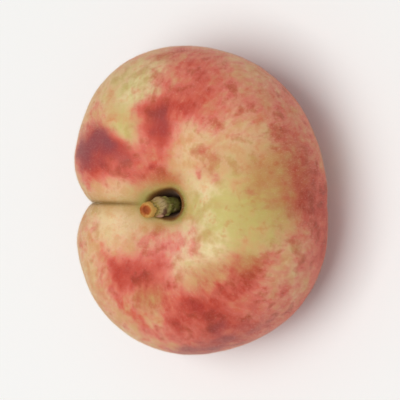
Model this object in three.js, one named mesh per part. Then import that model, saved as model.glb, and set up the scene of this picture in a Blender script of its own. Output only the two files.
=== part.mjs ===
// A flat peach as picked, lying on its blossom end with a stub of stem left in the cavity.
// Millimetres, +Z up. The origin is on the resting plane, under the middle of the fruit's outline.
// The suture, the seam between the two lobes, faces -X. The cheeks face +Y and -Y.
import * as THREE from "three";

// The fruit. Turns are in degrees around the stem's axis, counted from +X towards +Y.
const fruit = {
  radius: 33.5, // mean radius of the outline
  halfHeight: 22.5, // half the height before the two ends are dimpled
  fullness: 2.25, // exponent of the profile: 2 is an ellipse, more is squarer
  rows: 68, // steps from the stem to the blossom end
  crowd: 0.72, // how strongly those steps are drawn together at the two ends
  segments: 76, // steps around the stem's axis
  gather: 0.62, // how strongly the steps around are drawn together at the suture
  footSink: 0.6, // how much the fruit has flattened where it rests
};

// Waves of the outline around the axis: how many to a turn, share of the radius, turn of the crest.
const outlineWaves = [
  { count: 1, share: 0.045, crest: 28 },
  { count: 2, share: 0.079, crest: 91 },
  { count: 3, share: 0.015, crest: -6 },
  { count: 4, share: 0.011, crest: -39 },
];

// Dimples at the two ends: depth and width of the wide bowl and of the pit in its middle,
// whose steepness makes its floor flat (4) or rounded (2). Its middle stands aside from the
// fruit's axis, away from the suture, and the stretch is how much wider it is on the suture's side.
const stemDimple = {
  bowlDepth: 8.2,
  bowlWidth: 11.8,
  pitDepth: 5.4,
  pitWidth: 2.4,
  pitSteepness: 4,
  aside: 1.9,
  stretch: 0.8,
};
const blossomDimple = {
  bowlDepth: 7.2,
  bowlWidth: 12.5,
  pitDepth: 2.4,
  pitWidth: 4.6,
  pitSteepness: 2,
  aside: 0,
  stretch: 0,
};

// The suture groove. Its depth changes along the profile, from the stem (0) to the blossom end (1).
const suture = {
  coreRadius: 15, // radius of the ring that the skin is pressed towards
  valleyWidth: 5.6,
  creaseWidth: 1.1,
  creaseShare: 0.42, // share of the depth that is the narrow crease
  depths: [0, 1.5, 3.2, 4.9, 5.6, 4.4, 3.2, 2.7, 2.9, 1.6, 0],
  fullFrom: 6, // how far from the stem's axis the groove has its whole depth
  farSide: 0.14, // the faint seam opposite, as a share of the depth
  sideFrom: -2, // the depth goes over from the far side's to its own between
  sideTo: 5, // these distances from the stem's axis
};

// The seam is not quite straight: how far it sways, its waves from end to end, and its reach sideways.
const sway = { width: 0.25, waves: 1.1, reach: 14 };

// Broad, shallow swellings of the flesh: where each stands, how far it rises and how far it reaches.
const swellings = [
  { at: [-15, 26, 3], rise: 1.5, reach: 15 },
  { at: [20, -6, 17], rise: 1.3, reach: 19 },
  { at: [10, 27, -8], rise: -0.8, reach: 15 },
  { at: [24, -18, -10], rise: 0.9, reach: 15 },
  { at: [-8, 20, -17], rise: 0.7, reach: 13 },
];

// The stub of stem, leaning over the suture: radii are given along its length, from root to cut.
const stem = {
  lean: new THREE.Vector3(-3.6, -1.25, 8.8), // from the middle of the root to the middle of the cut
  firstUp: 4.8, // how far it grows straight up before it leans
  cutFacing: new THREE.Vector3(0.1, -0.1, 1), // the way that the slanting cut looks
  slantFrom: 0.55, // share of the length where its sections begin to turn to the cut's slant
  radii: [1.0, 1.6, 1.75, 1.8, 2.2, 2.4, 2.0, 2.1],
  dish: 0.4, // depth of the hollow in the cut
  dishWidth: 0.6, // radius of the hollow's floor, as a share of the cut's
  segments: 24,
  rows: 20,
  clearance: 0.5, // gap between the root and the bottom of the pit
};

const radians = THREE.MathUtils.degToRad;
const smooth = THREE.MathUtils.smoothstep;

// The value at a share (0 to 1) along a list of evenly spaced values.
function along(values, share) {
  const place = THREE.MathUtils.clamp(share, 0, 1) * (values.length - 1);
  const before = Math.min(Math.floor(place), values.length - 2);
  const part = place - before;
  const ease = part * part * (3 - 2 * part);
  return THREE.MathUtils.lerp(values[before], values[before + 1], ease);
}

// How far a dimple lowers the skin at a place beside the axis, before the outline's waves.
function dimple({ bowlDepth, bowlWidth, pitDepth, pitWidth, pitSteepness, aside, stretch }, x, y) {
  const across = x - aside;
  const bowlNear = Math.hypot(across, y) / bowlWidth;
  const pitNear = Math.hypot(across < 0 ? across / (1 + stretch) : across, y) / pitWidth;
  return bowlDepth * Math.exp(-(bowlNear ** 2)) + pitDepth * Math.exp(-(pitNear ** pitSteepness));
}

// The outline's radius at a turn, against its mean.
function outline(turn) {
  return outlineWaves.reduce(
    (sum, wave) => sum + wave.share * Math.cos(wave.count * (turn - radians(wave.crest))),
    1,
  );
}

// A point of the rounded body before the seam: a superellipse with a dimple at each end.
function plainPoint(turn, share) {
  const angle = Math.PI * share;
  const power = 2 / fruit.fullness;
  const level = Math.cos(angle);
  const radius = fruit.radius * Math.sin(angle) ** power;
  const x = radius * Math.cos(turn);
  const y = radius * Math.sin(turn);
  const end = level > 0 ? stemDimple : blossomDimple;
  const height = fruit.halfHeight * Math.abs(level) ** power - dimple(end, x, y);
  return new THREE.Vector3(x * outline(turn), y * outline(turn), Math.sign(level) * height);
}

// Raises or sinks the skin around each swelling.
function swell(point) {
  for (const { at, rise, reach } of swellings) {
    const centre = new THREE.Vector3(...at);
    const near = Math.exp(-((point.distanceTo(centre) / reach) ** 2));
    point.addScaledVector(centre.normalize(), rise * near);
  }
}

// Presses the seam between the lobes into the skin, towards a ring inside the flesh.
function pressSuture(point, share) {
  const outward = new THREE.Vector3(point.x, point.y, 0);
  const radius = outward.length();
  if (radius === 0) return;
  const core = outward.setLength(suture.coreRadius);
  const inward = core.sub(point).normalize();
  const aside = Math.abs(point.y);
  const valley = Math.exp(-((aside / suture.valleyWidth) ** 2));
  const crease = Math.exp(-aside / suture.creaseWidth);
  const section = THREE.MathUtils.lerp(valley, crease, suture.creaseShare);
  const ownSide = smooth(-point.x, suture.sideFrom, suture.sideTo);
  const side = THREE.MathUtils.lerp(suture.farSide, 1, ownSide);
  const depth = along(suture.depths, share) * side * smooth(radius, 0, suture.fullFrom);
  point.addScaledVector(inward, depth * section);
}

// Moves the seam and the skin beside it sideways.
function swaySeam(point, share) {
  const near = Math.exp(-((point.y / sway.reach) ** 2));
  point.y += sway.width * Math.sin(2 * Math.PI * sway.waves * share) * near;
}

function skinPoint(turn, share) {
  const point = plainPoint(turn, share);
  pressSuture(point, share);
  swell(point);
  swaySeam(point, share);
  return point;
}

// A lathe gives the closed net of faces, and each of its points is then set on the skin.
function fruitGeometry() {
  const profile = Array.from({ length: fruit.rows + 1 }, (_, row) => {
    const angle = (Math.PI * row) / fruit.rows;
    return new THREE.Vector2(Math.sin(angle), -Math.cos(angle));
  });
  const geometry = new THREE.LatheGeometry(profile, fruit.segments);
  const { position, uv } = geometry.attributes;
  for (let i = 0; i < position.count; i += 1) {
    const even = 2 * Math.PI * uv.getX(i);
    const turn = even + fruit.gather * Math.sin(even);
    const row = 1 - uv.getY(i);
    const share = row - (fruit.crowd * Math.sin(2 * Math.PI * row)) / (2 * Math.PI);
    position.setXYZ(i, ...skinPoint(turn, share));
  }
  return geometry;
}

// Stands the fruit on the origin's plane, flattens the spot that it rests on, and returns its move.
function setDown(geometry) {
  geometry.computeBoundingBox();
  const { min, max } = geometry.boundingBox;
  const move = min.clone().add(max).multiplyScalar(-0.5).setZ(-min.z - fruit.footSink);
  geometry.translate(move.x, move.y, move.z);
  const { position } = geometry.attributes;
  for (let i = 0; i < position.count; i += 1) {
    position.setZ(i, Math.max(0, position.getZ(i)));
  }
  geometry.computeVertexNormals();
  return move;
}

// The stub is a lathe of its radii, whose rows are then moved along the stem's curved line.
function stemGeometry(root) {
  const knee = root.clone().add(new THREE.Vector3(0, 0, stem.firstUp));
  const cut = root.clone().add(stem.lean);
  const line = new THREE.QuadraticBezierCurve3(root, knee, cut);
  const profile = [new THREE.Vector2(0, 0)];
  for (let row = 0; row <= stem.rows; row += 1) {
    const share = row / stem.rows;
    profile.push(new THREE.Vector2(along(stem.radii, share), share));
  }
  const floor = 1 - stem.dish / stem.lean.length();
  profile.push(new THREE.Vector2(stem.dishWidth * stem.radii.at(-1), floor));
  profile.push(new THREE.Vector2(0, floor));
  const geometry = new THREE.LatheGeometry(profile, stem.segments);
  const { position } = geometry.attributes;
  const up = new THREE.Vector3(0, 1, 0);
  for (let i = 0; i < position.count; i += 1) {
    const share = position.getY(i);
    const slant = smooth(share, stem.slantFrom, 1);
    const facing = line.getTangent(share).lerp(stem.cutFacing, slant).normalize();
    const turned = new THREE.Quaternion().setFromUnitVectors(up, facing);
    const offset = new THREE.Vector3(position.getX(i), 0, position.getZ(i)).applyQuaternion(turned);
    position.setXYZ(i, ...line.getPoint(share).add(offset));
  }
  geometry.computeVertexNormals();
  return geometry;
}

function finish(color, roughness) {
  return new THREE.MeshStandardMaterial({ color, roughness, metalness: 0 });
}

function named(name, geometry, material) {
  const mesh = new THREE.Mesh(geometry, material);
  mesh.name = name;
  return mesh;
}

const body = fruitGeometry();
const move = setDown(body);
const pitFloor = fruit.halfHeight - stemDimple.bowlDepth - stemDimple.pitDepth;
const root = new THREE.Vector3(stemDimple.aside * outline(0), 0, pitFloor);
swell(root);
root.add(move).add(new THREE.Vector3(0, 0, stem.clearance));

const peach = new THREE.Group();
peach.add(named("fruit", body, finish(0xd08a6c, 0.85)));
peach.add(named("stem_stub", stemGeometry(root), finish(0x8a7a48, 0.9)));

export default peach;
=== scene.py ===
# A flat peach lying on its blossom end, with the stub of its stem in the cavity. Metres, Z up.
# The suture, the seam between the two lobes, faces -X. Turns are degrees around the stem's axis,
# from +X towards +Y, and the way along the skin is 0 at the stem and 1 at the blossom end.
import math

import bpy
import numpy as np
from mathutils import Matrix, Vector, noise


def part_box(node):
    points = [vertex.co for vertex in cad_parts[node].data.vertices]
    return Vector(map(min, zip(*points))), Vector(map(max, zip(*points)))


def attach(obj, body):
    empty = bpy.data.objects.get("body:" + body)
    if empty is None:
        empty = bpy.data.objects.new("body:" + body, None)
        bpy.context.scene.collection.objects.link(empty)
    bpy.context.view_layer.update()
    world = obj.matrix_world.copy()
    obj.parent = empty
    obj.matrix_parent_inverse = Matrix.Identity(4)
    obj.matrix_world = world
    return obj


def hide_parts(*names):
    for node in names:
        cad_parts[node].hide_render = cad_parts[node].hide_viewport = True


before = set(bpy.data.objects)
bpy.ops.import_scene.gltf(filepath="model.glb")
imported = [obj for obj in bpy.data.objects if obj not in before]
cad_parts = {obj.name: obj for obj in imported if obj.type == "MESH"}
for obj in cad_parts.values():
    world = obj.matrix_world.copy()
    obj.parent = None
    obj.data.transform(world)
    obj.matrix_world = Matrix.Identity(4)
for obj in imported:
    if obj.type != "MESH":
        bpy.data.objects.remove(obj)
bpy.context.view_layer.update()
mm = 0.001


class Wire:
    # A socket that can stand in a formula. Each operation adds one node to its tree.
    def __init__(self, tree, socket):
        self.tree = tree
        self.socket = socket

    def math(self, operation, *others):
        node = self.tree.nodes.new("ShaderNodeMath")
        node.operation = operation
        for target, value in zip(node.inputs, (self, *others)):
            feed(self.tree, target, value)
        return Wire(self.tree, node.outputs[0])

    def vector(self, operation, *others):
        node = self.tree.nodes.new("ShaderNodeVectorMath")
        node.operation = operation
        for target, value in zip(node.inputs, (self, *others)):
            feed(self.tree, target, value)
        isNumber = operation in ("LENGTH", "DISTANCE")
        return Wire(self.tree, node.outputs[1 if isNumber else 0])

    def times(self, number):
        node = self.tree.nodes.new("ShaderNodeVectorMath")
        node.operation = "SCALE"
        feed(self.tree, node.inputs[0], self)
        feed(self.tree, node.inputs["Scale"], number)
        return Wire(self.tree, node.outputs[0])

    def parts(self):
        node = self.tree.nodes.new("ShaderNodeSeparateXYZ")
        feed(self.tree, node.inputs[0], self)
        return [Wire(self.tree, output) for output in node.outputs]

    def smooth(self, low, high):
        # eases from 0 at low to 1 at high
        node = self.tree.nodes.new("ShaderNodeMapRange")
        node.interpolation_type = "SMOOTHSTEP"
        feed(self.tree, node.inputs["Value"], self)
        feed(self.tree, node.inputs["From Min"], low)
        feed(self.tree, node.inputs["From Max"], high)
        return Wire(self.tree, node.outputs[0])

    def bell(self, width):
        # 1 where the value is 0, and 1/e at that width to either side
        return ((self / width) ** 2 * -1).exp()

    def atLeast(self, number):
        return self.math("MAXIMUM", number)

    def sin(self):
        return self.math("SINE")

    def cos(self):
        return self.math("COSINE")

    def exp(self):
        return self.math("EXPONENT")

    def __add__(self, other):
        return self.math("ADD", other)

    def __radd__(self, other):
        return self.math("ADD", other)

    def __sub__(self, other):
        return self.math("SUBTRACT", other)

    def __rsub__(self, other):
        return self.math("MULTIPLY", -1) + other

    def __mul__(self, other):
        return self.math("MULTIPLY", other)

    def __rmul__(self, other):
        return self.math("MULTIPLY", other)

    def __truediv__(self, other):
        return self.math("DIVIDE", other)

    def __pow__(self, other):
        return self.math("POWER", other)


def feed(tree, target, value):
    if isinstance(value, Wire):
        tree.links.new(value.socket, target)
    else:
        target.default_value = value


def addNode(tree, kind, settings=None, **inputs):
    # inputs are named as on the node, with _ for a space
    node = tree.nodes.new(kind)
    for name, value in (settings or {}).items():
        setattr(node, name, value)
    for name, value in inputs.items():
        feed(tree, node.inputs[name.replace("_", " ")], value)
    return node


def addWire(tree, kind, settings=None, **inputs):
    # the first output of a new node
    return Wire(tree, addNode(tree, kind, settings, **inputs).outputs[0])


def joinXYZ(tree, x, y, z):
    return addWire(tree, "ShaderNodeCombineXYZ", X=x, Y=y, Z=z)


def noiseAt(tree, place, size, detail=3.0, roughness=0.55, twist=0.0):
    # soft noise around 0, about -0.3 to 0.3, whose lumps have the given size
    return addWire(tree, "ShaderNodeTexNoise", Vector=place, Scale=1 / size, Detail=detail,
                   Roughness=roughness, Distortion=twist) - 0.5


def startTree(name, sizes):
    # a geometry tree with one named input for each size
    tree = bpy.data.node_groups.new(name, "GeometryNodeTree")
    tree.interface.new_socket("Geometry", in_out="INPUT", socket_type="NodeSocketGeometry")
    tree.interface.new_socket("Geometry", in_out="OUTPUT", socket_type="NodeSocketGeometry")
    for key in sizes:
        tree.interface.new_socket(key, in_out="INPUT", socket_type="NodeSocketFloat")
    inputs = tree.nodes.new("NodeGroupInput")
    start = Wire(tree, inputs.outputs["Geometry"])
    return tree, start, {key: Wire(tree, inputs.outputs[key]) for key in sizes}


def endTree(tree, geometry, material):
    realized = addWire(tree, "GeometryNodeRealizeInstances", Geometry=geometry)
    painted = addWire(tree, "GeometryNodeSetMaterial", Geometry=realized, Material=material)
    end = tree.nodes.new("NodeGroupOutput")
    feed(tree, end.inputs[0], painted)


def store(tree, geometry, name, value, kind="FLOAT_VECTOR", domain="POINT"):
    # keeps a value on the mesh under that name
    return addWire(tree, "GeometryNodeStoreNamedAttribute", {"data_type": kind, "domain": domain},
                   Geometry=geometry, Name=name, Value=value)


def stored(tree, name, kind="FLOAT_VECTOR"):
    return addWire(tree, "GeometryNodeInputNamedAttribute", {"data_type": kind}, Name=name)


def growMesh(name, tree, sizes, start=None):
    # runs the tree on a starting mesh and gives the result back as a plain mesh object
    holder = bpy.data.objects.new(name + "Holder", start or bpy.data.meshes.new(name + "Start"))
    bpy.context.scene.collection.objects.link(holder)
    modifier = holder.modifiers.new(name, "NODES")
    modifier.node_group = tree
    for item in tree.interface.items_tree:
        if item.in_out == "INPUT" and item.name in sizes:
            modifier[item.identifier] = float(sizes[item.name])
    depsgraph = bpy.context.evaluated_depsgraph_get()
    mesh = bpy.data.meshes.new_from_object(holder.evaluated_get(depsgraph))
    bpy.data.objects.remove(holder)
    mesh.name = name
    return addObject(name, mesh)


def addObject(name, data):
    added = bpy.data.objects.new(name, data)
    bpy.context.scene.collection.objects.link(added)
    return added


def linear(hexColour):
    # "#rrggbb" as seen on a screen, as the linear colour that nodes take
    values = [int(hexColour[i:i + 2], 16) / 255 for i in (1, 3, 5)]
    return tuple(v / 12.92 if v <= 0.04045 else ((v + 0.055) / 1.055) ** 2.4 for v in values) + (1.0,)


def newMaterial(name, **finish):
    # finish holds the shader's plain numbers, named as its sockets are, with _ for a space
    material = bpy.data.materials.new(name)
    material.use_nodes = True
    tree = material.node_tree
    shader = tree.nodes["Principled BSDF"]
    for key, value in finish.items():
        shader.inputs[key.replace("_", " ")].default_value = value
    return material, tree, shader


def objectPlace(tree):
    return Wire(tree, tree.nodes.new("ShaderNodeTexCoord").outputs["Object"])


def attribute(tree, name, isVector=False):
    node = addNode(tree, "ShaderNodeAttribute", {"attribute_name": name})
    return Wire(tree, node.outputs["Vector" if isVector else "Fac"])


def mixColours(tree, amount, first, second, blend="MIX"):
    # colours are wires or "#rrggbb"
    node = addNode(tree, "ShaderNodeMix", {"data_type": "RGBA", "blend_type": blend})
    feed(tree, node.inputs[0], amount)
    for target, colour in ((node.inputs[6], first), (node.inputs[7], second)):
        feed(tree, target, linear(colour) if isinstance(colour, str) else colour)
    return Wire(tree, node.outputs[2])


def glaze(tree, amount, colour, tint):
    return mixColours(tree, amount, colour, tint, "MULTIPLY")


def ramp(tree, amount, stops):
    node = addNode(tree, "ShaderNodeValToRGB", Fac=amount)
    while len(node.color_ramp.elements) < len(stops):
        node.color_ramp.elements.new(0.5)
    for element, (position, colour) in zip(node.color_ramp.elements, stops):
        element.position = position
        element.color = linear(colour)
    return Wire(tree, node.outputs[0])


def addBump(tree, shader, height, strength, distance):
    bump = addWire(tree, "ShaderNodeBump", Strength=strength, Distance=distance, Height=height)
    feed(tree, shader.inputs["Normal"], bump)


# The fruit's net of faces: steps around the stem's axis and from the stem to the blossom end.
fruitNet = {"columns": 380, "rows": 238}
fruit = {
    "radius": 33.5 * mm,          # mean radius of the outline
    "halfHeight": 22.5 * mm,      # before the two ends are dimpled
    "fullness": 2.25,             # exponent of the profile: 2 is an ellipse
    "crowd": 0.72,                # how strongly the rows draw together at the two ends
    "gather": 0.62,               # how strongly the columns draw together at the suture
    "stemBowlDepth": 8.2 * mm,
    "stemBowlWidth": 11.8 * mm,
    "stemPitDepth": 5.4 * mm,
    "stemPitWidth": 2.4 * mm,
    "stemPitSteepness": 4,        # 4 gives the pit a flat floor, 2 a rounded one
    "stemAside": 1.9 * mm,        # how far that dimple stands from the axis, away from the suture
    "stemStretch": 0.8,           # how much wider its pit is on the suture's side
    "blossomBowlDepth": 7.2 * mm,
    "blossomBowlWidth": 12.5 * mm,
    "blossomPitDepth": 2.4 * mm,
    "blossomPitWidth": 4.6 * mm,
    "blossomPitSteepness": 2,
    "blossomAside": 0,
    "blossomStretch": 0,
    "grooveDepth": 5.6 * mm,
    "grooveCore": 15 * mm,        # radius of the ring inside that the skin is pressed towards
    "grooveValley": 5.6 * mm,
    "grooveCrease": 1.1 * mm,
    "grooveCreaseShare": 0.42,
    "grooveFullFrom": 6 * mm,     # how far from the stem's axis it has its whole depth
    "grooveFarSide": 0.14,        # the faint seam opposite, as a share of the depth
    "grooveSideFrom": -2 * mm,    # the depth goes over from the far side's to its own between
    "grooveSideTo": 5 * mm,       # these distances from the stem's axis
    "swayWidth": 0.25 * mm,
    "swayWaves": 1.1,
    "swayReach": 14 * mm,
    "lumpDepth": 0.7 * mm,        # low lumps of the skin, which set in between
    "lumpsFrom": 2 * mm,          # these distances from the middle of the stem's pit
    "lumpsTo": 9 * mm,
    "lipHeight": 0.12 * mm,       # corky edge around the stem's pit
    "lipAt": 3.5 * mm,
    "lipWidth": 0.4 * mm,
    "scarHeight": 0.7 * mm,       # nub in the blossom end's dimple
    "scarWidth": 0.8 * mm,
}
# waves of the outline: how many to a turn, share of the radius, turn of the crest
outlineWaves = [(1, 0.045, 28), (2, 0.079, 91), (3, 0.015, -6), (4, 0.011, -39)]
# depth of the groove along the skin, as a share of the deepest
grooveAlong = [0, 0.268, 0.571, 0.875, 1, 0.786, 0.571, 0.482, 0.518, 0.286, 0]
# swellings in millimetres: where each stands, how far it rises and how far it reaches
swellings = [
    ((-15, 26, 3), 1.5, 15),
    ((20, -6, 17), 1.3, 19),
    ((10, 27, -8), -0.8, 15),
    ((24, -18, -10), 0.9, 15),
    ((-8, 20, -17), 0.7, 13),
]
# grain of the skin's relief
reliefGrain = {"lumps": 10 * mm, "cork": 1.2 * mm, "scar": 0.5 * mm}


def reachAt(share):
    # distance from the stem's axis, before the outline's waves
    return (share * math.pi).sin().atLeast(0) ** (2 / fruit["fullness"]) * fruit["radius"]


def dimpleDistance(tree, end, x, y):
    # how far the skin is from the middle of the dimple, less on the side that is stretched
    across = x - fruit[end + "Aside"]
    across = across.atLeast(0) - (across * -1).atLeast(0) / (1 + fruit[end + "Stretch"])
    return joinXYZ(tree, across, y, 0.0).vector("LENGTH")


def stemDistances(tree, placeX, placeY, way):
    # from the stem's axis, and from the middle of its pit
    reach = reachAt(way)
    return reach, dimpleDistance(tree, "stem", reach * placeX, reach * placeY)


def stemHalf(way):
    # 1 around the stem, 0 from the cheeks to the blossom end
    return 1 - way.smooth(0.4, 0.5)


def dimpleDepth(tree, size, end, x, y):
    bowlAt = joinXYZ(tree, x - size[end + "Aside"], y, 0.0).vector("LENGTH")
    bowl = size[end + "BowlDepth"] * bowlAt.bell(size[end + "BowlWidth"])
    pitShare = dimpleDistance(tree, end, x, y) / size[end + "PitWidth"]
    return bowl + size[end + "PitDepth"] * (pitShare ** size[end + "PitSteepness"] * -1).exp()


def plainSkin(tree, size, turn, share):
    # a superellipse turned around the stem's axis, with a dimple at each end
    level = (share * math.pi).cos()
    isTop = level.math("GREATER_THAN", 0)
    x, y = reachAt(share) * turn.cos(), reachAt(share) * turn.sin()
    stemEnd = dimpleDepth(tree, size, "stem", x, y)
    blossomEnd = dimpleDepth(tree, size, "blossom", x, y)
    dimple = blossomEnd + (stemEnd - blossomEnd) * isTop
    height = size["halfHeight"] * level.math("ABSOLUTE") ** (2 / fruit["fullness"]) - dimple
    outline = 1.0
    for count, waveShare, crest in outlineWaves:
        outline = ((turn - math.radians(crest)) * count).cos() * waveShare + outline
    return joinXYZ(tree, x * outline, y * outline, height * (isTop * 2 - 1))


def curveAlong(tree, share, values):
    # the value at a share (0 to 1) along a list of evenly spaced values
    curve = addNode(tree, "ShaderNodeFloatCurve", Value=share)
    points = curve.mapping.curves[0].points
    points[0].location = (0, values[0])
    points[-1].location = (1, values[-1])
    for i in range(1, len(values) - 1):
        points.new(i / (len(values) - 1), values[i])
    for point in points:
        point.handle_type = "AUTO_CLAMPED"
    curve.mapping.update()
    return Wire(tree, curve.outputs[0])


def pressGroove(tree, size, point, share):
    # presses the seam between the lobes into the skin, towards a ring inside the flesh
    x, y, _ = point.parts()
    flat = joinXYZ(tree, x, y, 0.0)
    radius = flat.vector("LENGTH")
    core = flat.vector("NORMALIZE").times(size["grooveCore"])
    inward = core.vector("SUBTRACT", point).vector("NORMALIZE")
    aside = y.math("ABSOLUTE")
    valley = aside.bell(size["grooveValley"])
    crease = (aside / size["grooveCrease"] * -1).exp()
    section = valley + (crease - valley) * size["grooveCreaseShare"]
    ownSide = (x * -1).smooth(size["grooveSideFrom"], size["grooveSideTo"])
    side = size["grooveFarSide"] + (1 - size["grooveFarSide"]) * ownSide
    depth = curveAlong(tree, share, grooveAlong) * size["grooveDepth"]
    pressed = depth * side * section * radius.smooth(0.0, size["grooveFullFrom"])
    return point.vector("ADD", inward.times(pressed))


def swell(point):
    for at, rise, reach in swellings:
        centre = Vector(at) * mm
        near = point.vector("DISTANCE", centre).bell(reach * mm)
        outward = joinXYZ(point.tree, *centre.normalized())
        point = point.vector("ADD", outward.times(near * (rise * mm)))
    return point


def swaySeam(tree, size, point, share):
    near = point.parts()[1].bell(size["swayReach"])
    aside = size["swayWidth"] * (share * size["swayWaves"] * math.tau).sin() * near
    return point.vector("ADD", joinXYZ(tree, 0.0, aside, 0.0))


def skinRelief(tree, size):
    # low lumps of the skin, the corky edge of the stem's pit and the scar of the blossom
    placeX, placeY, way = stored(tree, "place").parts()
    position = addWire(tree, "GeometryNodeInputPosition")
    reach, near = stemDistances(tree, placeX, placeY, way)
    lumps = noiseAt(tree, position, reliefGrain["lumps"], 2.0, 0.45)
    lumps = lumps * size["lumpDepth"] * near.smooth(size["lumpsFrom"], size["lumpsTo"])
    cork = 1 + noiseAt(tree, position, reliefGrain["cork"], 2.0) * 3
    lip = (near - size["lipAt"]).bell(size["lipWidth"]) * stemHalf(way) * cork * size["lipHeight"]
    frill = 1 + noiseAt(tree, position, reliefGrain["scar"], 2.0) * 2
    scar = reach.bell(size["scarWidth"]) * (1 - stemHalf(way)) * frill * size["scarHeight"]
    return lumps + lip + scar


def buildFruitTree(material):
    # bends a flat grid to the fruit's skin, closes it and adds the relief
    tree, _, size = startTree("flatPeachShape", fruit)
    grid = addWire(tree, "GeometryNodeMeshGrid", Size_X=1.0, Size_Y=1.0,
                   Vertices_X=fruitNet["columns"] + 1, Vertices_Y=fruitNet["rows"] + 1)
    flatX, flatY, _ = addWire(tree, "GeometryNodeInputPosition").parts()
    even = (flatX + 0.5) * math.tau
    turn = even + size["gather"] * even.sin()
    row = 0.5 - flatY
    share = row - size["crowd"] * (row * math.tau).sin() / math.tau
    point = plainSkin(tree, size, turn, share)
    point = pressGroove(tree, size, point, share)
    point = swell(point)
    point = swaySeam(tree, size, point, share)
    placed = store(tree, grid, "place", joinXYZ(tree, turn.cos(), turn.sin(), share))
    shaped = addWire(tree, "GeometryNodeSetPosition", Geometry=placed, Position=point)
    closed = addWire(tree, "GeometryNodeMergeByDistance", Geometry=shaped, Distance=0.0002 * mm)
    normal = addWire(tree, "GeometryNodeInputNormal")
    uneven = addWire(tree, "GeometryNodeSetPosition", Geometry=closed,
                     Offset=normal.times(skinRelief(tree, size)))
    endTree(tree, addWire(tree, "GeometryNodeSetShadeSmooth", Geometry=uneven), material)
    return tree


def readPoints(mesh, name="position"):
    values = np.zeros(len(mesh.vertices) * 3, np.float32)
    mesh.attributes[name].data.foreach_get("vector", values)
    return values.reshape(-1, 3).astype(float)


def writeValues(mesh, name, level):
    values = mesh.attributes.new(name, "FLOAT", "POINT")
    values.data.foreach_set("value", level.astype(np.float32))


def fitToFrame(mesh, node):
    # stands the fruit where the frame has it and flattens the spot that it rests on
    points = readPoints(mesh)
    low, high = (np.array(corner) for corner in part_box(node))
    move = (low + high) / 2 - (points.min(0) + points.max(0)) / 2
    move[2] = high[2] - points[:, 2].max()
    points += move
    points[:, 2] = np.maximum(points[:, 2], 0)
    mesh.vertices.foreach_set("co", points.astype(np.float32).ravel())
    mesh.update()


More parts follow.
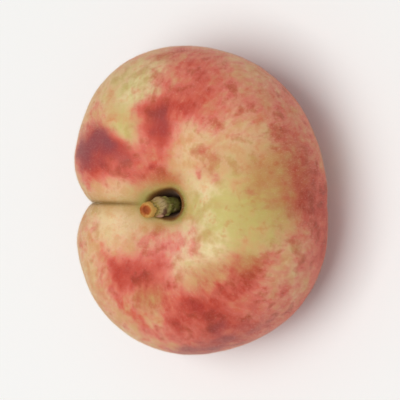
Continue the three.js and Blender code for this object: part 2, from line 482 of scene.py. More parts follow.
# The red of the skin, painted as soft spots: turn, way, how long and how wide in mm, how strong.
blushSpots = [
    # broad patches
    (147, 0.19, 7, 7, 0.45), (128, 0.12, 5, 4.5, 0.35), (84, 0.185, 6, 6, 0.45),
    (74, 0.25, 8, 7, 0.3), (92, 0.35, 8, 9, 0.2), (250, 0.155, 6, 7, 0.45), (265, 0.095, 7, 6, 0.2),
    (285, 0.245, 6.5, 7, 0.35), (300, 0.305, 8, 8, 0.3), (284, 0.37, 8, 11, 0.35),
    (262, 0.31, 6, 7, 0.2), (324, 0.32, 7, 8, 0.3), (315, 0.44, 8, 10, 0.25),
    (2, 0.45, 8, 10, 0.35), (240, 0.28, 9, 7, 0.25), (231, 0.17, 5, 5, 0.12),
    (131, 0.28, 4, 5, 0.2), (271, 0.185, 5, 5, 0.1), (200, 0.26, 6, 5, 0.22),
    (295, 0.1, 5, 5, 0.15), (110, 0.08, 4, 5, 0.1),
    # the dark patch above the suture and the rosy skin under it
    (143, 0.195, 4.5, 3.5, 0.5), (136, 0.215, 2.5, 2.2, 0.35), (133, 0.15, 2.5, 2.2, 0.55),
    (117, 0.157, 2.8, 2.4, -0.4), (125, 0.145, 2.8, 2.2, 0.5), (121, 0.116, 2.4, 1.9, 0.5),
    (117, 0.09, 2, 1.6, 0.25), (127, 0.19, 2.2, 2, 0.2), (150, 0.235, 4, 3.5, 0.35),
    (153, 0.285, 5, 5, 0.5), (147, 0.125, 3.5, 3, 0.28), (156, 0.175, 3, 3, 0.35),
    (139, 0.09, 3, 2.4, 0.2), (128, 0.07, 2.5, 2, 0.3), (162, 0.22, 3, 2, 0.2),
    # the red band that runs down the upper lobe
    (90, 0.195, 2.5, 3, 0.2), (84, 0.16, 4.5, 3.6, 0.6), (98, 0.187, 1.8, 2.2, 0.3),
    (80, 0.13, 3, 3, 0.55), (84, 0.112, 2.6, 2.4, 0.45), (97, 0.14, 3, 2.4, 0.4),
    (104, 0.095, 2.5, 2.4, 0.28), (86, 0.084, 2.6, 3, 0.35), (76, 0.213, 3, 4, 0.05),
    (66, 0.213, 3, 4, 0.4), (87, 0.285, 3, 3.5, 0.2), (74, 0.35, 6, 7, 0.4), (87, 0.41, 4, 6, 0.3),
    (99, 0.37, 3, 4, 0.1), (110, 0.4, 3, 5, 0.1), (128, 0.24, 3, 2.5, 0.12),
    # salmon around the stem's cavity
    (272, 0.042, 2, 3, 0.25), (292, 0.064, 3, 4, 0.1), (250, 0.06, 2.5, 3, 0.1),
    (312, 0.075, 3, 3, 0.12), (319, 0.1, 2.4, 2.4, 0.32), (315, 0.132, 2, 2, 0.12),
    (126, 0.052, 3, 3, 0.3), (108, 0.045, 2.4, 2.4, 0.25), (104, 0.062, 3, 3, 0.25),
    (88, 0.06, 3, 3, 0.15), (64, 0.046, 2.4, 2.6, 0.35), (80, 0.04, 2, 2.4, 0.2),
    (74, 0.085, 3, 3, 0.2), (100, 0.057, 0.7, 0.7, 0.5),
    # lighter and deeper stretches of the underside
    (60, 0.7, 10, 10, 0.35), (130, 0.62, 8, 8, 0.3), (310, 0.66, 10, 12, 0.3),
    (250, 0.72, 7, 7, 0.25), (200, 0.75, 9, 7, -0.4), (275, 0.83, 5, 6, -0.3),
    (20, 0.66, 6, 8, -0.35), (95, 0.82, 5, 6, -0.3), (160, 0.88, 4, 4, -0.2),
    # the back, from the top of the upper lobe to the right cheek
    (60, 0.29, 7, 7, 0.35), (45, 0.37, 7, 7, 0.35), (28, 0.42, 6, 7, 0.35), (52, 0.22, 4, 5, 0.25),
    (40, 0.15, 4, 4, 0.15), (32, 0.11, 1.2, 1.2, 0.3), (21, 0.156, 1.6, 1.4, 0.32),
    (29, 0.12, 3, 3, 0.1), (7, 0.258, 2.4, 2.4, 0.32), (4, 0.42, 5, 5, 0.2),
    (354, 0.47, 4, 3, 0.12), (358, 0.55, 6, 8, 0.35), (346, 0.385, 1.6, 1.3, 0.45),
    (345, 0.5, 4, 4, 0.05), (340, 0.55, 4, 4, 0.3),
    # the red patch on the lower lobe
    (222, 0.17, 1.4, 1.4, 0.25), (229, 0.165, 2, 1.6, 0.35), (236, 0.155, 2.2, 2, 0.4),
    (240, 0.172, 2.6, 2, 0.4), (247, 0.14, 2.5, 2.2, 0.25), (257, 0.125, 3, 2.4, 0.4),
    (249, 0.187, 2.2, 2, 0.45), (257, 0.162, 2.4, 2.2, 0.25), (270, 0.13, 2.6, 2.2, 0.25),
    (279, 0.115, 2.6, 2.2, 0.5), (281, 0.147, 2.4, 2.2, 0.28), (269, 0.095, 2.4, 2.2, 0.2),
    (285, 0.085, 3, 2.4, 0.2), (300, 0.085, 2, 2, 0.2), (248, 0.072, 2, 1.4, 0.15),
    (214, 0.16, 1.4, 1.4, 0.08), (271, 0.165, 3, 3, 0.1), (277, 0.19, 3, 3, -0.12),
    (308, 0.2, 5, 5, 0.15),
    # flecks between the two red patches
    (248, 0.232, 2, 1.6, 0.35), (256, 0.25, 1.6, 2, 0.35), (259, 0.275, 1.6, 2, 0.25),
    (284, 0.165, 2, 2.4, 0.2), (262, 0.305, 2, 2.4, 0.2), (240, 0.215, 2, 1.6, 0.2),
    # the red patch along the lower cheek
    (279, 0.212, 2.4, 2.4, 0.42), (290, 0.212, 2.4, 2.4, 0.35), (292, 0.235, 2.6, 2.4, 0.35),
    (284, 0.247, 2.6, 2.4, 0.25), (278, 0.277, 3, 2.6, 0.5), (276, 0.34, 3.4, 3, 0.25),
    (298, 0.252, 2.8, 2.6, 0.4), (304, 0.262, 2.6, 2.2, 0.25), (312, 0.27, 2.2, 2.2, 0.45),
    (309, 0.242, 2, 2, 0.25), (319, 0.295, 2.2, 2, 0.3), (324, 0.313, 2.2, 1.8, 0.3),
    (322, 0.25, 2, 2, 0.3), (315, 0.347, 2.4, 2.4, 0.25), (267, 0.325, 3, 3, 0.1),
    (312, 0.295, 2.2, 2.2, 0.38), (293, 0.29, 3.4, 3, 0.3), (300, 0.305, 3, 2.6, 0.25),
    (295, 0.335, 3, 3, 0.25), (303, 0.37, 3.4, 3, 0.25), (290, 0.375, 4, 5, 0.2),
    (304, 0.42, 4, 4, 0.15), (323, 0.42, 2.2, 2, 0.3), (330, 0.24, 2, 2, 0.3),
    (337, 0.333, 2.4, 2.2, 0.35), (331, 0.315, 2, 2, 0.1), (198, 0.18, 3, 3, 0.15),
    (285, 0.46, 6, 12, 0.3), (335, 0.455, 2.4, 2.4, 0.25), (320, 0.47, 6, 7, -0.15),
    (262, 0.4, 4, 5, 0.1),
]
# A dusky purple over the deepest red.
duskSpots = [
    (146, 0.21, 6, 4.5, 0.85), (151, 0.27, 5, 5, 0.6), (133, 0.19, 4, 3, 0.6),
    (129, 0.15, 4.5, 2.2, 0.5), (122, 0.11, 4, 1.8, 0.5), (117, 0.157, 2.8, 2.4, -0.3),
    (82, 0.15, 6, 4, 0.5), (284, 0.46, 6, 12, 0.45), (296, 0.34, 3, 2.4, 0.3),
    (292, 0.4, 5, 10, 0.45), (272, 0.42, 4, 6, 0.4), (310, 0.47, 5, 8, 0.25),
]
# A green cast where the skin is palest.
greenSpots = [
    (355, 0.07, 3, 4, 0.7), (352, 0.11, 5, 5, 0.2), (352, 0.18, 7, 7, 0.6), (348, 0.23, 7, 7, 0.5),
    (8, 0.21, 6, 6, 0.35), (110, 0.165, 6, 4, 0.5), (101, 0.28, 9, 8, 0.6), (265, 0.2, 3, 2.2, 0.5),
    (307, 0.155, 4, 4, 0.4), (352, 0.32, 6, 6, 0.4), (150, 0.045, 3, 3, 0.4),
]
# A golden brown where the ground is ripest, and painted shade in two spots by the stem's pit.
goldAndShadeSpots = [
    (269, 0.17, 4, 4, 0.4), (274, 0.2, 4.5, 4, 0.5), (262, 0.21, 4, 3.5, 0.5),
    (300, 0.19, 5, 5, 0.5), (315, 0.21, 5, 5, 0.6), (14, 0.28, 6, 6, 0.6), (358, 0.3, 6, 6, 0.5),
    (30, 0.16, 5, 5, 0.5), (4, 0.4, 7, 8, 0.7), (240, 0.14, 3, 3, 0.3), (330, 0.25, 4, 4, 0.5),
    # (92, 0.034) at the end of the next line is painted shade beside the stem's pit, towards +Y
    (330, 0.295, 4, 4, 0.5), (64, 0.05, 3, 3, 0.5), (92, 0.034, 2.4, 4, 0.8),
    # (262, 0.034) at the start of the next line is the stub's shadow, painted beside the pit towards -Y
    (262, 0.034, 1.6, 2.4, 0.8), (4, 0.27, 3, 3, 0.5), (20, 0.42, 8, 8, 0.6), (90, 0.36, 6, 8, 0.4),
    (130, 0.2, 4, 3, 0.4),
]
# A cream that is paler than the rest of the ground. Right of the stem, at turns 333 to 350, it is partly
# painted light on the slope of the stem's bowl.
paleAndLitSpots = [
    (215, 0.09, 5, 4, 0.5), (341, 0.1, 5, 4, 0.8), (333, 0.125, 4.5, 4.5, 0.6),
    (350, 0.11, 4, 4, 0.7), (348, 0.1, 5, 5, 0.6), (102, 0.25, 6, 6, 0.6), (10, 0.13, 5, 5, 0.9),
    (285, 0.08, 6, 6, 0.8), (318, 0.13, 6, 6, 0.9), (345, 0.16, 5, 5, 0.6), (97, 0.3, 8, 7, 0.8),
    (195, 0.14, 6, 3, 0.7), (167, 0.12, 6, 2, 0.12), (30, 0.09, 4, 4, 0.4), (108, 0.23, 4, 4, 0.3),
]
# Grain that ragged edges come from: how coarse it is and how far it pushes.
warp = [(9 * mm, 1.3 * mm), (3 * mm, 0.6 * mm)]
warpSeed = 4
# How much the turn and the way count when the nearest point of the skin is looked for.
placeScale = (1, 1, 4)
# The underside is redder: where that sets in, over how much of the way, and how strong it is.
underside = {"from": 0.38, "over": 0.22, "blush": 0.65, "dusk": 0.08}
blushAllOver = 0.08
# The line at the bottom of the groove, and beside it a softer painted shade, olive-tinted. The rest is
# by way.
seam = {
    "lineWidth": 0.55 * mm,
    "shadeWidth": 2.2 * mm,
    "from": 0.014,
    "fadeIn": 0.02,
    "fainterFrom": 0.3,
    "fainterOver": 0.2,
    "fainterBy": 0.6,
    "fadeOut": 0.1,
}


def warpPoints(points):
    # pushes points about, so that what is painted around them gets a ragged outline
    noise.seed_set(warpSeed)
    warped = points.copy()
    for size, reach in warp:
        warped += [noise.noise_vector(Vector(p / size)) * reach for p in points]
    return warped


def paintSpots(mesh, name, spots, warped, base=0.0):
    points = readPoints(mesh)
    place = readPoints(mesh, "place")

    def findSkin(turn, way):
        angle = math.radians(turn)
        target = np.array([math.cos(angle), math.sin(angle), way]) * placeScale
        return points[np.argmin(((place * placeScale - target) ** 2).sum(1))]

    level = np.zeros(len(points)) + base
    for turn, way, long, wide, strength in spots:
        centre = findSkin(turn, way)
        lengthwise = findSkin(turn, way + 0.03) - findSkin(turn, way - 0.03)
        lengthwise /= np.linalg.norm(lengthwise)
        offset = warped - centre
        alongSkin = offset @ lengthwise
        aside = (offset ** 2).sum(1) - alongSkin ** 2
        level += strength * np.exp(-(alongSkin / (long * mm)) ** 2 - aside / (wide * mm) ** 2)
    writeValues(mesh, name, level)


def paintSeam(mesh):
    # only on the suture's side, fading out at both ends and fainter below
    points = readPoints(mesh)
    place = readPoints(mesh, "place")
    axis = points[np.argmin(place[:, 2])]
    reach = np.hypot(points[:, 0] - axis[0], points[:, 1] - axis[1])
    aside = np.abs(place[:, 1]) * reach
    way = place[:, 2]
    below = np.clip((way - seam["fainterFrom"]) / seam["fainterOver"], 0, 1)
    fade = np.clip((way - seam["from"]) / seam["fadeIn"], 0, 1) * (1 - seam["fainterBy"] * below)
    fade *= np.clip((1 - way) / seam["fadeOut"], 0, 1) * (place[:, 0] < 0)
    writeValues(mesh, "seam", np.exp(-(aside / seam["lineWidth"]) ** 2) * fade)
    writeValues(mesh, "seamSide", np.exp(-(aside / seam["shadeWidth"]) ** 2) * fade)


# Colours of the ground, from the tan to the straw of its clouds.
groundStops = [(0.15, "#d5a26e"), (0.4, "#dbb07c"), (0.62, "#e2c592"), (0.85, "#d9bd80")]
# The red lies over the ground like a glaze, in four strengths:
# how much pigment it sets in with and is full with, how dense it gets, and its tint.
redGlazes = [
    (-0.05, 0.5, 0.9, "#ffd4e7"),
    (0.25, 0.75, 1.0, "#fcbbcb"),
    (0.6, 1.05, 1.0, "#e6b5aa"),
    (0.95, 1.45, 1.0, "#e3bcc0"),
]


def skinGrain(tree):
    # soft noises of several sizes that all the colours share
    here = objectPlace(tree)
    mottlePlace = here.vector("ADD", (0.05, 0.02, 0.07))
    return {
        "here": here,
        "clouds": noiseAt(tree, here, 6 * mm, 1.0),
        "blotches": noiseAt(tree, here, 3.0 * mm, 1.0, 0.5, 0.2),
        "flecks": noiseAt(tree, here, 1.1 * mm, 2.0, 0.5),
        "stipple": noiseAt(tree, here, 0.4 * mm, 2.0),
        "mottle": noiseAt(tree, mottlePlace, 2.6 * mm, 2.0, 0.55),
    }


def skinStreaks(tree, placeX, placeY, way):
    # streaks that run away from the stem: a weaker set close to it, a stronger one further out
    grain = joinXYZ(tree, placeX * (13 * mm), placeY * (13 * mm), way * (22 * mm))
    innerStreaks = noiseAt(tree, grain, 1.2 * mm, 2.0, 0.5) * 0.7
    grain = joinXYZ(tree, placeX * (27 * mm), placeY * (27 * mm), way * (34 * mm))
    outerStreaks = noiseAt(tree, grain, 1.1 * mm, 2.0, 0.5)
    return innerStreaks + (outerStreaks - innerStreaks) * way.smooth(0.1, 0.2)


def groundColour(tree, grain):
    # cream and tan clouds, with gold, a green cast and a reddish mottle
    clouds, flecks, mottle = grain["clouds"], grain["flecks"], grain["mottle"]
    shade = clouds * 0.8 + grain["blotches"] * 0.5 + flecks * 0.4 + grain["stipple"] * 0.3 + mottle * 0.5
    pale = (attribute(tree, "pale") + shade * 0.6).smooth(0.0, 1.1) * 0.9
    golden = (attribute(tree, "gold") + shade).smooth(0.0, 1.0) * 0.8
    greenish = (attribute(tree, "green") + shade * 1.2 + mottle * 0.9).smooth(-0.1, 1.1) * 0.9
    ruddy = (mottle * -1 + flecks * 0.8 - clouds * 0.4).smooth(0.06, 0.32) * 0.45
    ground = ramp(tree, shade * 1.6 + 0.5, groundStops)
    # pale cream, partly painted light right of the stem
    ground = mixColours(tree, pale, ground, "#e9d6a5")
    # the gold also lays painted shade and the stub's painted shadow by the stem's pit
    ground = mixColours(tree, golden, ground, "#bd8446")
    ground = mixColours(tree, greenish, ground, "#c5b768")
    return glaze(tree, ruddy, ground, "#fac2a8")


def addDots(tree, here, pigment, skin):
    # pale freckles in the red, and a few brown specks
    dots = addNode(tree, "ShaderNodeTexVoronoi", Vector=here, Scale=1 / (1.7 * mm))
    dotSize = Wire(tree, dots.outputs["Color"]).parts()[0]
    freckle = (Wire(tree, dots.outputs["Distance"]) * -1 + 0.16 * dotSize).smooth(-0.02, 0.05)
    skin = mixColours(tree, freckle * pigment.smooth(0.3, 0.8) * 0.35, skin, "#e0a27c")
    specks = addNode(tree, "ShaderNodeTexVoronoi", Vector=here, Scale=1 / (5.5 * mm))
    chosen = Wire(tree, specks.outputs["Color"]).parts()[1].math("GREATER_THAN", 0.72)
    speck = (Wire(tree, specks.outputs["Distance"]) * -1 + 0.055).smooth(0.0, 0.03) * chosen
    return mixColours(tree, speck * 0.6, skin, "#8a5638")


def addPit(tree, placeX, placeY, way, blotches, skin):
    # rings of colour around the stem's pit, painted shade on its wall, and the scar in the blossom end's
    # dimple
    isTop = stemHalf(way)
    reach, near = stemDistances(tree, placeX, placeY, way)
    near = near + blotches * (0.5 * mm)
    near = near - placeX.atLeast(0) * (0.7 * mm)
    greenSides = 0.45 + placeX * placeX * 0.4
    for full, gone, strength, colour in (
            (3.2, 8.0, 0.45, "#b8914f"),         # tan bowl
            (3.4, 5.2, greenSides, "#8f8a3a"),   # green edge, strongest in line with the suture
            (3.0, 3.8, 0.95, "#73471b"),         # corky lip
            (2.0, 2.8, 0.8, "#5a3810")):         # wall
        amount = (1 - near.smooth(full * mm, gone * mm)) * isTop * strength
        skin = mixColours(tree, amount, skin, colour)
    # painted shade: the pit's wall is darkened towards +Y
    paintedWallShade = (1 - near.smooth(2.6 * mm, 3.4 * mm)) * isTop * placeY.smooth(0.1, 0.9)
    skin = mixColours(tree, paintedWallShade * 0.6, skin, "#2c1b0b")
    scar = (1 - (reach + blotches * (0.8 * mm)).smooth(0.8 * mm, 2.4 * mm)) * (1 - isTop)
    return mixColours(tree, scar * 0.85, skin, "#b08a5e")


def makeSkin():
    material, tree, shader = newMaterial(
        "peachSkin", Roughness=0.6, Subsurface_Weight=0.1, Subsurface_Scale=1.5 * mm,
        Specular_IOR_Level=0.3, Sheen_Weight=0.15, Sheen_Roughness=0.4)
    shader.inputs["Subsurface Radius"].default_value = (1.0, 0.45, 0.25)
    shader.inputs["Sheen Tint"].default_value = linear("#ffd8c6")
    placeX, placeY, way = attribute(tree, "place", True).parts()
    grain = skinGrain(tree)
    streaks = skinStreaks(tree, placeX, placeY, way)
    clouds, blotches = grain["clouds"], grain["blotches"]
    flecks, stipple = grain["flecks"], grain["stipple"]

    # the grain breaks up the painted red, most where there is some already
    blush = attribute(tree, "blush")
    grainy = clouds * 0.6 + blotches * 0.6 + flecks * 0.3 + streaks * 0.55 + stipple * 0.2
    pigment = blush + grainy * (0.6 + blush.smooth(0.0, 0.4) * 0.5)
    skin = groundColour(tree, grain)
    for low, high, density, tint in redGlazes:
        skin = glaze(tree, pigment.smooth(low, high) * density, skin, tint)
    dusk = attribute(tree, "dusk") + (clouds + blotches) * 0.5
    skin = mixColours(tree, dusk.smooth(0.15, 1.15) * 0.8, skin, "#8a464b")
    skin = addDots(tree, grain["here"], pigment, skin)
    # painted shade, olive-tinted, in the groove beside the seam's line
    skin = mixColours(tree, attribute(tree, "seamSide") * 0.5, skin, "#ad8f50")
    skin = mixColours(tree, attribute(tree, "seam") * 0.9, skin, "#80602a")
    skin = addPit(tree, placeX, placeY, way, blotches, skin)
    feed(tree, shader.inputs["Base Color"], skin)
    addBump(tree, shader, flecks * 0.35 + stipple * 0.6, 0.3, 0.15 * mm)
    return material


def buildFruit():
    skin = makeSkin()
    piece = growMesh("peach_fruit", buildFruitTree(skin), fruit)
    fitToFrame(piece.data, "fruit")
    warped = warpPoints(readPoints(piece.data))
    way = readPoints(piece.data, "place")[:, 2]
    under = np.clip((way - underside["from"]) / underside["over"], 0, 1)
    paintSpots(piece.data, "blush", blushSpots, warped, blushAllOver + underside["blush"] * under)
    paintSpots(piece.data, "dusk", duskSpots, warped, underside["dusk"] * under)
    paintSpots(piece.data, "green", greenSpots, warped)
    paintSpots(piece.data, "gold", goldAndShadeSpots, warped)
    paintSpots(piece.data, "pale", paleAndLitSpots, warped)
    paintSeam(piece.data)
    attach(piece, "root")
    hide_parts("fruit")
    print("fruit:", len(piece.data.polygons), "faces")
    return piece


down = {
    "perSquareMetre": 9e6,
    "length": 0.45 * mm,
    "thickness": 0.024 * mm,
    "lean": 50,               # degrees from upright, at most
    "floorGap": 1.0 * mm,     # none grows lower, where the fruit rests
    "pitEdge": 3.4 * mm,      # nor nearer to the middle of the stem's pit
    "border": 0.46,           # way along the skin where one piece of down ends and the next begins
}
downSeed = 7
# the hairs take their colour from the skin's red: where that sets in and where it is full
rosyFrom, rosyTo = 0.1, 1.2


def makeDownMaterial():
    material, tree, shader = newMaterial("peachDown", Roughness=0.75, Specular_IOR_Level=0.2)
    rosy = attribute(tree, "blush").smooth(rosyFrom, rosyTo)
    root = mixColours(tree, rosy, "#d6bb8a", "#c47563")
    end = mixColours(tree, rosy, "#f0e7d2", "#efd6c8")
    hair = mixColours(tree, attribute(tree, "tip").smooth(0.0, 0.7), root, end)
    feed(tree, shader.inputs["Base Color"], hair)
    return material


def hairCone(tree):
    # a slim three-sided cone, a little sunk into the skin, that knows how far up each point is
    cone = addWire(tree, "GeometryNodeMeshCone", Vertices=3, Radius_Bottom=1.0, Radius_Top=0.0,
                   Depth=1.0)
    position = addWire(tree, "GeometryNodeInputPosition")
    cone = store(tree, cone, "alongHair", position)
    cone = store(tree, cone, "tip", position.parts()[2], "FLOAT")
    sunk = addNode(tree, "GeometryNodeTransform", Geometry=cone)
    sunk.inputs["Translation"].default_value = (0, 0, -0.05)
    return Wire(tree, sunk.outputs[0])


def downMap(tree):
    # a map with the redness from side to side and the hair's length upwards
    hairX, hairY, hairZ = stored(tree, "alongHair").parts()
    rosy = stored(tree, "blush", "FLOAT").smooth(rosyFrom, rosyTo)
    return joinXYZ(tree, rosy * 0.9 + 0.05 + hairX * 0.01, hairZ * 0.9 + 0.05 + hairY * 0.01, 0.0)


def buildDownTree(material, isUpper):
    # short hairs all over a stretch of skin, each of which leans its own way
    tree, skin, size = startTree("peachDown", down)
    placeX, placeY, way = stored(tree, "place").parts()
    height = addWire(tree, "GeometryNodeInputPosition").parts()[2]
    here = (height - size["floorGap"]).math("GREATER_THAN", 0)
    isAbove = way.math("LESS_THAN", size["border"])
    if isUpper:
        _, near = stemDistances(tree, placeX, placeY, way)
        here = here * isAbove * near.smooth(size["pitEdge"], size["pitEdge"] * 1.4)
    else:
        here = here * (1 - isAbove)
    roots = addNode(tree, "GeometryNodeDistributePointsOnFaces", Mesh=skin,
                    Density=here * size["perSquareMetre"], Seed=downSeed)

    def anyNumber(low, high, seed):
        node = addNode(tree, "FunctionNodeRandomValue", {"data_type": "FLOAT"}, Seed=seed)
        feed(tree, node.inputs[2], low)
        feed(tree, node.inputs[3], high)
        return Wire(tree, node.outputs[1])

    lean = anyNumber(0.0, 1.0, downSeed + 1) * size["lean"] * (math.pi / 180)
    leaning = joinXYZ(tree, lean, 0.0, anyNumber(0.0, math.tau, downSeed + 2))
    leaning = addWire(tree, "FunctionNodeEulerToRotation", Euler=leaning)
    rotation = addWire(tree, "FunctionNodeRotateRotation", {"rotation_space": "LOCAL"},
                       Rotation=Wire(tree, roots.outputs["Rotation"]), Rotate_By=leaning)
    long = size["length"] * anyNumber(0.6, 1.15, downSeed + 3)
    thick = size["thickness"] * anyNumber(0.35, 0.6, downSeed + 4)
    hairs = addWire(tree, "GeometryNodeInstanceOnPoints", Points=Wire(tree, roots.outputs["Points"]),
                    Instance=hairCone(tree), Rotation=rotation, Scale=joinXYZ(tree, thick, thick, long))
    hairs = addWire(tree, "GeometryNodeRealizeInstances", Geometry=hairs)
    hairs = store(tree, hairs, "OFBake", downMap(tree), "FLOAT2", "CORNER")
    endTree(tree, hairs, material)
    return tree


def buildDown(skinMesh):
    material = makeDownMaterial()
    for name, isUpper in (("peach_down_upper", True), ("peach_down_lower", False)):
        piece = growMesh(name, buildDownTree(material, isUpper), down, skinMesh)
        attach(piece, "root")
        print("down:", len(piece.data.vertices) // 4, "hairs")


# The stub of stem. Its lengths are in millimetres.
stub = {
    "rows": 120,
    "segments": 84,
    "lean": (-3.8, -1.3, 8.8),    # from the middle of the root to the middle of the cut
    "firstUp": 4.8,               # how far it grows straight up before it leans
    "cutFacing": (0.1, -0.1, 1),  # the way that the slanting cut looks
    "slantFrom": 0.55,            # share of the length where it begins to turn to the cut's slant
    "radii": [1.0, 1.6, 1.75, 1.8, 2.2, 2.35, 1.85, 1.85],
    "ridges": 9,                  # how many run along it
    "ridge": 0.055,               # their depth, as a share of the radius
    "aside": 1.83,                # how far the root stands from the fruit's axis
    "rootGap": 0.4,
    "rim": 0.1,                   # how far the rim just inside the cut's edge stands up
    "ledge": 0.15,                # how far the wood inside the rim lies lower
    "pith": 0.35,                 # how much lower still the hollow middle is
    "roughSize": 0.45,            # grain of the cut's face and how rough it is
    "roughDepth": 0.12,
}
# rings of the cut's face, as shares of its radius: a low rim, a ledge and the hollow pith
cutRings = [0.985, 0.96, 0.92, 0.86, 0.8, 0.74, 0.68, 0.62, 0.56, 0.5, 0.42, 0.34, 0.25, 0.15, 0.06]
# colours of the bark from the root to the cut, whose dark browns at the root are partly painted shade
# down in the pit, and of the cut's face from the pith outwards
barkAndShadeStops = [
    (0.1, "#3c2a14"), (0.26, "#5b4c22"), (0.4, "#7c7d36"), (0.58, "#8a8c48"), (0.72, "#97825a"),
    (0.84, "#a48c5c"), (0.91, "#9a8440"), (0.95, "#665722"), (0.99, "#b98f48"),
]
faceStops = [
    (0.0, "#873c14"), (0.35, "#98481a"), (0.58, "#ad5e28"), (0.74, "#bf8440"), (0.95, "#c29550"),
    (1.0, "#b08540"),
]


def alongList(values, share):
    # the value at a share (0 to 1) along a list of evenly spaced values
    place = min(max(share, 0), 1) * (len(values) - 1)
    before = min(int(place), len(values) - 2)
    part = place - before
    ease = part * part * (3 - 2 * part)
    return values[before] + (values[before + 1] - values[before]) * ease


def smoothStep(value, low, high):
    t = min(max((value - low) / (high - low), 0), 1)
    return t * t * (3 - 2 * t)


def makeBark():
    material, tree, shader = newMaterial("stemBark", Roughness=0.7, Specular_IOR_Level=0.25)
    here = objectPlace(tree)
    turnX, turnY, way = attribute(tree, "place", True).parts()
    blotch = noiseAt(tree, here, 1.4 * mm, 3.0, 0.6)
    grain = noiseAt(tree, here, 0.3 * mm, 3.0)
    lengthwise = joinXYZ(tree, turnX * (3 * mm), turnY * (3 * mm), way * (2 * mm))
    fibre = noiseAt(tree, lengthwise, 0.35 * mm, 2.0)
    # the bark's colours along the stub, with painted shade at the root
    bark = ramp(tree, way + blotch * 0.25 + fibre * 0.08, barkAndShadeStops)
    bark = mixColours(tree, (fibre + grain).smooth(0.0, 0.25) * 0.5, bark, "#5a4a26")
    bark = mixColours(tree, (blotch * -1 - fibre).smooth(0.08, 0.3) * 0.6, bark, "#cdb48c")

    def patch(turn, wide, at, long):
        # strongest where the bark faces that turn, at that share of the stub's length
        angle = math.radians(turn)
        facing = turnX * math.cos(angle) + turnY * math.sin(angle)
        return facing.smooth(1 - wide, 1.0) * (way - at).bell(long)

    bruise = patch(315, 0.5, 0.73, 0.08)
    bark = mixColours(tree, (bruise + blotch).smooth(0.15, 0.85) * 0.9, bark, "#4e2c20")
    # partly a pink tone of the bark, partly a painted highlight on the knob's lower bulge
    pinkHighlight = patch(275, 0.4, 0.78, 0.1)
    bark = mixColours(tree, (pinkHighlight + blotch).smooth(0.25, 0.7) * 0.85, bark, "#b8937c")
    faceX, faceY, outward = attribute(tree, "face", True).parts()
    # the pith sits towards the suture, so the wood around it is widest on the other side
    fromPith = joinXYZ(tree, faceX + 0.34, faceY + 0.06, 0.0).vector("LENGTH")
    wood = ramp(tree, fromPith + grain * 0.3 + blotch * 0.6, faceStops)
    wood = mixColours(tree, outward.smooth(0.9, 1.0) * 0.6, wood, "#a07a3c")
    stem = mixColours(tree, attribute(tree, "isFace"), bark, wood)
    feed(tree, shader.inputs["Base Color"], stem)
    addBump(tree, shader, grain + blotch * 0.5 + fibre * 0.8, 0.45, 0.1 * mm)
    return material


def stubRings(root, turns):
    # rings of points from the root to the middle of the cut, each with its share of the length,
    # its share of the radius on the cut's face, and 1 where it lies on that face
    knee = root + Vector((0, 0, stub["firstUp"])) * mm
    cut = root + Vector(stub["lean"]) * mm
    cutFacing = Vector(stub["cutFacing"]).normalized()

    def centreAt(t):
        return (1 - t) ** 2 * root + 2 * t * (1 - t) * knee + t * t * cut

    def turnAt(t):
        growing = ((1 - t) * (knee - root) + t * (cut - knee)).normalized()
        facing = growing.lerp(cutFacing, smoothStep(t, stub["slantFrom"], 1))
        return Vector((0, 0, 1)).rotation_difference(facing)

    def barkRadius(t, turn):
        spot = Vector((math.cos(turn) * 1.3, math.sin(turn) * 1.3, t * 4))
        ridges = math.sin(stub["ridges"] * turn + 2.5 * noise.noise(spot)) * 0.4
        ridges += noise.noise(spot * 2.2) * 1.4
        ridges *= 1 - 0.6 * smoothStep(t, 0.85, 1)
        return alongList(stub["radii"], t) * mm * (1 + stub["ridge"] * ridges)

    rings = []
    for i in range(stub["rows"] + 1):
        t = i / stub["rows"]
        ring = []
        for turn in turns:
            radius = barkRadius(t, turn)
            x, y = radius * math.cos(turn), radius * math.sin(turn)
            ring.append(centreAt(t) + turnAt(t) @ Vector((x, y, 0)))
        rings.append((ring, t, 1.0, 0.0))
    for share in cutRings:
        rim = stub["rim"] * mm * (1 - smoothStep(share, 0.9, 0.8)) * (share < 0.97)
        ledge = stub["ledge"] * mm * smoothStep(share, 1.0, 0.8) if share < 0.96 else 0.0
        pith = stub["pith"] * mm * smoothStep(share, 0.62, 0.4)
        ring = []
        for turn in turns:
            radius = barkRadius(1.0, turn) * share
            x, y = radius * math.cos(turn), radius * math.sin(turn)
            grain = noise.noise(Vector((x, y, 0)) / (stub["roughSize"] * mm))
            rough = grain * stub["roughDepth"] * mm * smoothStep(share, 1.0, 0.9)
            ring.append(cut + turnAt(1.0) @ Vector((x, y, rim + rough - ledge - pith)))
        rings.append((ring, 1.0, share, 1.0))
    return rings


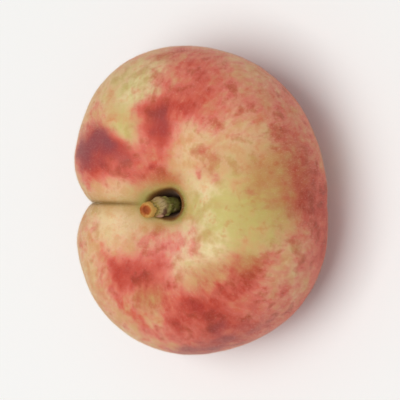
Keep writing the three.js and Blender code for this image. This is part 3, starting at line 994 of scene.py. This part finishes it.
def meshOfRings(name, rings, turns):
    # joins the rings with four-sided faces and closes both ends with a fan
    points, places, faceSpots, isFace, faces = [], [], [], [], []
    for ring, t, share, onFace in rings:
        for turn, point in zip(turns, ring):
            points.append(point)
            places.append((math.cos(turn), math.sin(turn), t))
            faceSpots.append((math.cos(turn) * share, math.sin(turn) * share, share))
            isFace.append(onFace)
    n = len(turns)
    for r in range(len(rings) - 1):
        for k in range(n):
            a, b = r * n + k, r * n + (k + 1) % n
            faces.append((a, b, b + n, a + n))
    for start, isLast in ((0, False), ((len(rings) - 1) * n, True)):
        points.append(sum((points[start + k] for k in range(n)), Vector()) / n)
        places.append((1, 0, 1) if isLast else (1, 0, 0))
        faceSpots.append((0, 0, 0))
        isFace.append(float(isLast))
        for k in range(n):
            pair = (start + k, start + (k + 1) % n)
            faces.append((*pair, len(points) - 1) if isLast else (*pair[::-1], len(points) - 1))
    mesh = bpy.data.meshes.new(name)
    mesh.from_pydata(points, [], faces)
    for key, values in (("place", places), ("face", faceSpots)):
        layer = mesh.attributes.new(key, "FLOAT_VECTOR", "POINT")
        layer.data.foreach_set("vector", np.array(values, np.float32).ravel())
    writeValues(mesh, "isFace", np.array(isFace))
    mesh.shade_smooth()
    return mesh


def pitBottom(mesh):
    # where the middle of the stub's root stands, before its gap
    points = readPoints(mesh)
    way = readPoints(mesh, "place")[:, 2]
    axis = points[np.argmin(way)]
    return Vector((axis[0] + stub["aside"] * mm, axis[1], points[way < 0.03, 2].min()))


def buildStub(fruitMesh):
    turns = [math.tau * k / stub["segments"] for k in range(stub["segments"])]
    root = pitBottom(fruitMesh) + Vector((0, 0, stub["rootGap"] * mm))
    mesh = meshOfRings("peach_stem_stub", stubRings(root, turns), turns)
    mesh.materials.append(makeBark())
    piece = addObject("peach_stem_stub", mesh)
    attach(piece, "root")
    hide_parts("stem_stub")
    print("stub:", len(mesh.polygons), "faces")


studio = {
    "tilt": 29,                # degrees between the camera's line and the stem's axis
    "lens": 200,
    "sensor": 36,
    "clipStart": 0.01,
    "fieldWidth": 93.6 * mm,
    "world": 0.42,
    "lampPower": 4.0,
    "lampAt": (-0.03, -0.06, 0.78),
    "lampSize": 0.5,
    "floorHalf": 3.0,
    "floorLevel": -0.1 * mm,
}


def buildFloor():
    material, _, shader = newMaterial("paleFloor", Roughness=0.9, Specular_IOR_Level=0.1)
    shader.inputs["Base Color"].default_value = linear("#f6f6f4")
    mesh = bpy.data.meshes.new("floor")
    half, level = studio["floorHalf"], studio["floorLevel"]
    corners = [(-half, -half, level), (half, -half, level), (half, half, level), (-half, half, level)]
    mesh.from_pydata(corners, [], [(0, 1, 2, 3)])
    mesh.materials.append(material)
    addObject("floor", mesh)


def buildLight():
    world = bpy.data.worlds.new("studio")
    bpy.context.scene.world = world
    world.use_nodes = True
    background = world.node_tree.nodes["Background"]
    background.inputs["Color"].default_value = (1, 1, 1, 1)
    background.inputs["Strength"].default_value = studio["world"]
    lamp = bpy.data.lights.new("lamp", "AREA")
    lamp.size = studio["lampSize"]
    lamp.energy = studio["lampPower"]
    holder = addObject("lamp", lamp)
    holder.location = studio["lampAt"]
    holder.rotation_euler = (-Vector(studio["lampAt"])).to_track_quat("-Z", "Y").to_euler()
    holder.visible_camera = False


def buildCamera(piece):
    # looks at the middle of the fruit's outline, with +Y up in the picture
    tilt = math.radians(studio["tilt"])
    back = Vector((math.sin(tilt), 0, math.cos(tilt)))
    right = Vector((math.cos(tilt), 0, -math.sin(tilt)))
    up = Vector((0, 1, 0))
    points = readPoints(piece.data)
    middle = back * (points @ np.array(back)).mean()
    for axis in (right, up):
        across = points @ np.array(axis)
        middle += axis * (across.min() + across.max()) / 2
    camera = bpy.data.cameras.new("camera")
    camera.lens = studio["lens"]
    camera.sensor_width = studio["sensor"]
    camera.clip_start = studio["clipStart"]
    distance = studio["fieldWidth"] * camera.lens / camera.sensor_width
    holder = addObject("camera", camera)
    holder.location = middle + back * distance
    holder.rotation_mode = "QUATERNION"
    holder.rotation_quaternion = Matrix((right, up, back)).transposed().to_quaternion()
    bpy.context.scene.camera = holder


bpy.context.scene.view_settings.view_transform = "Standard"
peach = buildFruit()
buildStub(peach.data)
buildDown(peach.data)
buildFloor()
buildLight()
buildCamera(peach)
print("studio: floor, lamp and camera")

print("done")
